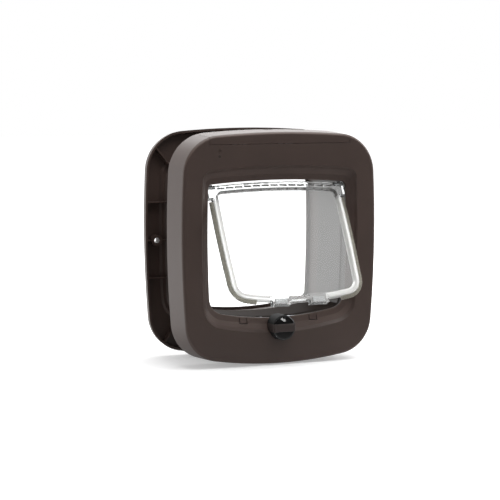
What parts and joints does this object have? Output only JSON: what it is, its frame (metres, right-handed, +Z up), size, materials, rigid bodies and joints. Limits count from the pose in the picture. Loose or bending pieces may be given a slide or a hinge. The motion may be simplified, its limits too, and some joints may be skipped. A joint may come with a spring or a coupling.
{
  "type": "cat flap",
  "caption": "Microchip cat flap: deep indoor frame with battery cover and rotary lock, clear brush-edged flap, and a shallow outdoor frame that slides on the tunnel.",
  "frame": {"origin": "midway between the two fixing screws, in the plane of the door's indoor face", "axes": "+X right and +Z up as seen from indoors, +Y out through the door"},
  "size_m": [0.2186, 0.1554, 0.2382],
  "materials": {
    "brown_moulding": "fine spark-eroded satin, injection moulded",
    "chassis_moulding": "satin, injection moulded",
    "zinc_steel": "zinc plated",
    "acetal": "natural, waxy",
    "bright_steel": "ground",
    "clear_moulding": "clear polished polycarbonate",
    "magnet": "dull nickel",
    "brush_pile": "dense pile",
    "knob_gloss": "polished black",
    "acetal_black": "waxy black",
    "solenoid": "plated steel over copper winding",
    "cell": "plain printed sleeve",
    "contact": "nickel plated",
    "board": "solder resist",
    "lens": "smoked clear",
    "button": "satin",
    "coil": "enamelled copper winding"
  },
  "bodies": {
    "indoor_unit": {"front_frame": "brown_moulding", "inner_chassis": "chassis_moulding", "keeper_plates": "zinc_steel", "chassis_screws": "zinc_steel", "hinge_bush_left": "acetal", "hinge_bush_right": "acetal", "latch_solenoid": "solenoid", "battery_cell_1": "cell", "battery_cell_2": "cell", "battery_cell_3": "cell", "battery_cell_4": "cell", "battery_tray": "chassis_moulding", "battery_contacts": "contact", "circuit_board": "board", "led_lens": "lens", "reader_coil": "coil"},
    "flap": {"flap_pane": "clear_moulding", "flap_magnet_left": "magnet", "flap_magnet_right": "magnet", "flap_brush_left": "brush_pile", "flap_brush_right": "brush_pile", "hinge_pin_left": "bright_steel", "hinge_pin_right": "bright_steel"},
    "lock": {"lock_knob": "knob_gloss", "lock_spindle": "acetal_black"},
    "cover": {"battery_cover": "brown_moulding"},
    "button": {"learn_button": "button"},
    "latch": {"latch_yoke": "acetal_black"},
    "outdoor_unit": {"rear_frame": "brown_moulding"}
  },
  "joints": [
    {"name": "flap_swing", "type": "hinge", "parent": "indoor_unit", "child": "flap", "pos_m": [0, -0.0212, 0.05795], "axis": [1, 0, 0], "range_deg": [-43.7, 108.3]},
    {"name": "lock_turn", "type": "hinge", "parent": "indoor_unit", "child": "lock", "pos_m": [0, -0.0277, -0.08375], "axis": [0, 1, 0], "range_deg": [0, 270]},
    {"name": "cover_lift", "type": "slide", "parent": "indoor_unit", "child": "cover", "axis": [0, 0, 1], "range_m": [0, 0.025]},
    {"name": "learn_press", "type": "slide", "parent": "indoor_unit", "child": "button", "axis": [0, 1, 0], "range_m": [0, 0.0005], "stiffness_N_per_m": 400},
    {"name": "latch_rise", "type": "slide", "parent": "indoor_unit", "child": "latch", "axis": [0, 0, 1], "range_m": [0, 0.01]},
    {"name": "depth_slide", "type": "slide", "parent": "indoor_unit", "child": "outdoor_unit", "axis": [0, 1, 0], "range_m": [-0.026, 0.004]}
  ]
}
